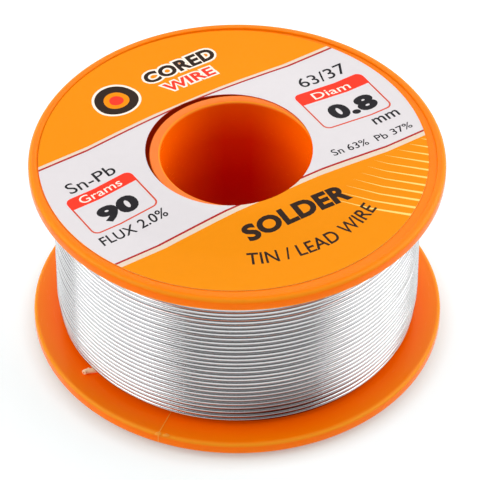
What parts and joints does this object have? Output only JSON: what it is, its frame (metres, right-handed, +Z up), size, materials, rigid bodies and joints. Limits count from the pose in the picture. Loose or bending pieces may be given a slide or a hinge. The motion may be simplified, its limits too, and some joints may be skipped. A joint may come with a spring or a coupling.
{
  "type": "solder wire spool",
  "caption": "Small flanged plastic reel wound full of thin flux-cored solder wire, with a printed ring label on each flange.",
  "frame": {"origin": "on the spool's axis, in the plane of the hub's lower end", "axes": "+Z up along the spool's axis, +Y away from the viewer and +X to the viewer's right as it lies on a bench"},
  "size_m": [0.062, 0.062, 0.0332],
  "materials": {
    "reel_plastic": "glossy orange, slightly translucent",
    "solder": "bright drawn tin-lead alloy, finely scuffed",
    "flux": "clear amber resin",
    "label_paper": "satin coated paper, printed"
  },
  "bodies": {
    "root": {"reel": "reel_plastic", "solder_layer_1": "solder", "solder_layer_2": "solder", "solder_layer_3": "solder", "solder_layer_4": "solder", "solder_layer_5": "solder", "wire_start": "solder", "flux_core_start": "flux", "wire_free_end": "solder", "flux_core_free_end": "flux", "upper_label": "label_paper", "lower_label": "label_paper"}
  },
  "joints": []
}
